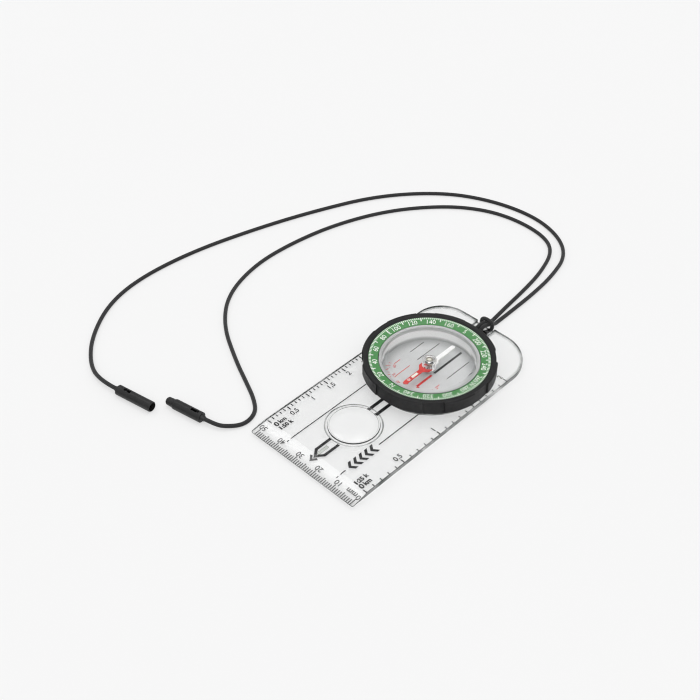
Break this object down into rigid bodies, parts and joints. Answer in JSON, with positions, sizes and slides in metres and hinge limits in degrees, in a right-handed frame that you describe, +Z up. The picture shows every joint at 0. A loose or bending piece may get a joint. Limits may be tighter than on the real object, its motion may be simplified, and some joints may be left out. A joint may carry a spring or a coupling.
{
  "type": "baseplate compass",
  "caption": "Clear baseplate compass with ruler scales, a magnifier, a turning green dial in a black bezel, a red and white needle and a black neck cord with breakaway connectors.",
  "frame": {"origin": "centre of the plate's outline, on the surface that the compass lies on", "axes": "+Y is the direction of travel, +X to the user's right, +Z up through the dial"},
  "size_m": [0.1588, 0.2095, 0.0102],
  "materials": {
    "clear_plate": "polished clear acrylic",
    "luminous_grey": "cured luminous paste, grey in daylight",
    "black_grip": "matte black, lightly textured grip",
    "dial_green": "satin green with white print",
    "clear_capsule": "clear moulded plastic",
    "clear_lid": "clear polished plastic",
    "white_nylon": "natural nylon",
    "steel": "ground steel point",
    "needle_red": "red enamel",
    "needle_white": "white enamel",
    "luminous_white": "luminous paste",
    "clear_hub": "clear moulded plastic",
    "brass": "turned brass",
    "jewel": "polished synthetic sapphire",
    "magnet_dark": "sintered magnet",
    "cord_black": "braided polyester cord",
    "connector_black": "matte black moulded plastic",
    "stop_metal": "crimped stop"
  },
  "bodies": {
    "plate": {"baseplate": "clear_plate", "arrow_luminous_bar": "luminous_grey", "lanyard_hitch": "cord_black", "lanyard_strand_outer": "cord_black", "lanyard_strand_inner": "cord_black", "connector_socket_half": "connector_black", "connector_plug_half": "connector_black", "cord_stop_socket": "stop_metal", "cord_stop_plug": "stop_metal"},
    "housing": {"bezel_grip_ring": "black_grip", "dial_ring": "dial_green", "capsule_body": "clear_capsule", "capsule_lid": "clear_lid", "capsule_filler_plug": "clear_capsule", "friction_washer": "white_nylon", "pivot_post": "steel"},
    "needle": {"needle_north_half": "needle_red", "needle_south_half": "needle_white", "needle_luminous_patch": "luminous_white", "needle_hub_cap": "clear_hub", "needle_hub_bush": "brass", "needle_jewel_bearing": "jewel", "needle_magnet": "magnet_dark"}
  },
  "joints": [
    {"name": "housing_turn", "type": "hinge", "parent": "plate", "child": "housing", "pos_m": [0, -0.0169, 0.006], "axis": [0, 0, 1], "continuous": true},
    {"name": "needle_swing", "type": "hinge", "parent": "housing", "child": "needle", "pos_m": [0, -0.0169, 0.007], "axis": [0, 0, 1], "continuous": true}
  ]
}
